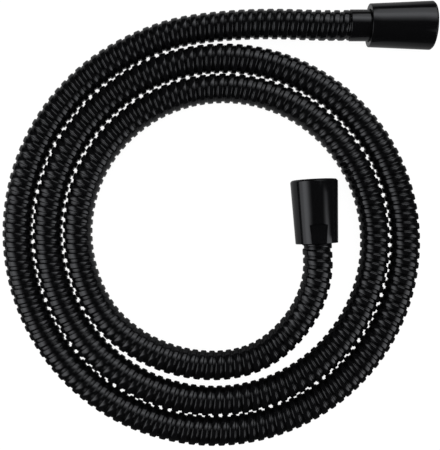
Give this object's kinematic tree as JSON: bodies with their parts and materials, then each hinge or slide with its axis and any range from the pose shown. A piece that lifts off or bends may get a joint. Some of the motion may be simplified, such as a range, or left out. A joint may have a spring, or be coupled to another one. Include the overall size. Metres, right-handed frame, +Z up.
{
  "type": "shower hose",
  "caption": "Flexible ribbed shower hose in a flat coil, with a conical union nut at each end and a swivel at the handset end.",
  "frame": {"origin": "on the surface that the hose lies on, under the middle of its box", "axes": "+Z up, through the eye of the flat coil; +X along the handset end's axis, out of its nut; +Y along the longer side of the coil's box"},
  "size_m": [0.2173, 0.224, 0.024],
  "materials": {
    "black_casing": "satin black",
    "black_fittings": "satin black",
    "inner_rubber": "smooth",
    "seal_rubber": "matte",
    "brass": "turned",
    "spring_steel": "bright",
    "slip_plastic": "natural"
  },
  "bodies": {
    "hose": {"casing": "black_casing", "inner_hose": "inner_rubber", "retaining_clip": "spring_steel", "slip_ring": "slip_plastic", "swivel_body": "brass", "handset_sleeve": "black_fittings", "outlet_tail": "brass", "outlet_sleeve": "black_fittings", "outlet_washer": "seal_rubber"},
    "handset_spigot": {"handset_spigot": "brass", "o_ring_front": "seal_rubber", "o_ring_rear": "seal_rubber", "handset_washer": "seal_rubber"},
    "handset_nut": {"handset_nut": "black_fittings"},
    "outlet_nut": {"outlet_nut": "black_fittings"}
  },
  "joints": [
    {"name": "handset_swivel", "type": "hinge", "parent": "hose", "child": "handset_spigot", "pos_m": [0.1084, 0.1, 0.012], "axis": [1, 0, 0], "continuous": true},
    {"name": "handset_nut_turn", "type": "hinge", "parent": "handset_spigot", "child": "handset_nut", "pos_m": [0.1084, 0.1, 0.012], "axis": [1, 0, 0], "continuous": true},
    {"name": "outlet_nut_turn", "type": "hinge", "parent": "hose", "child": "outlet_nut", "pos_m": [0.0487, 0.0222, 0.012], "axis": [-0.0462, 0.9989, 0], "continuous": true}
  ]
}
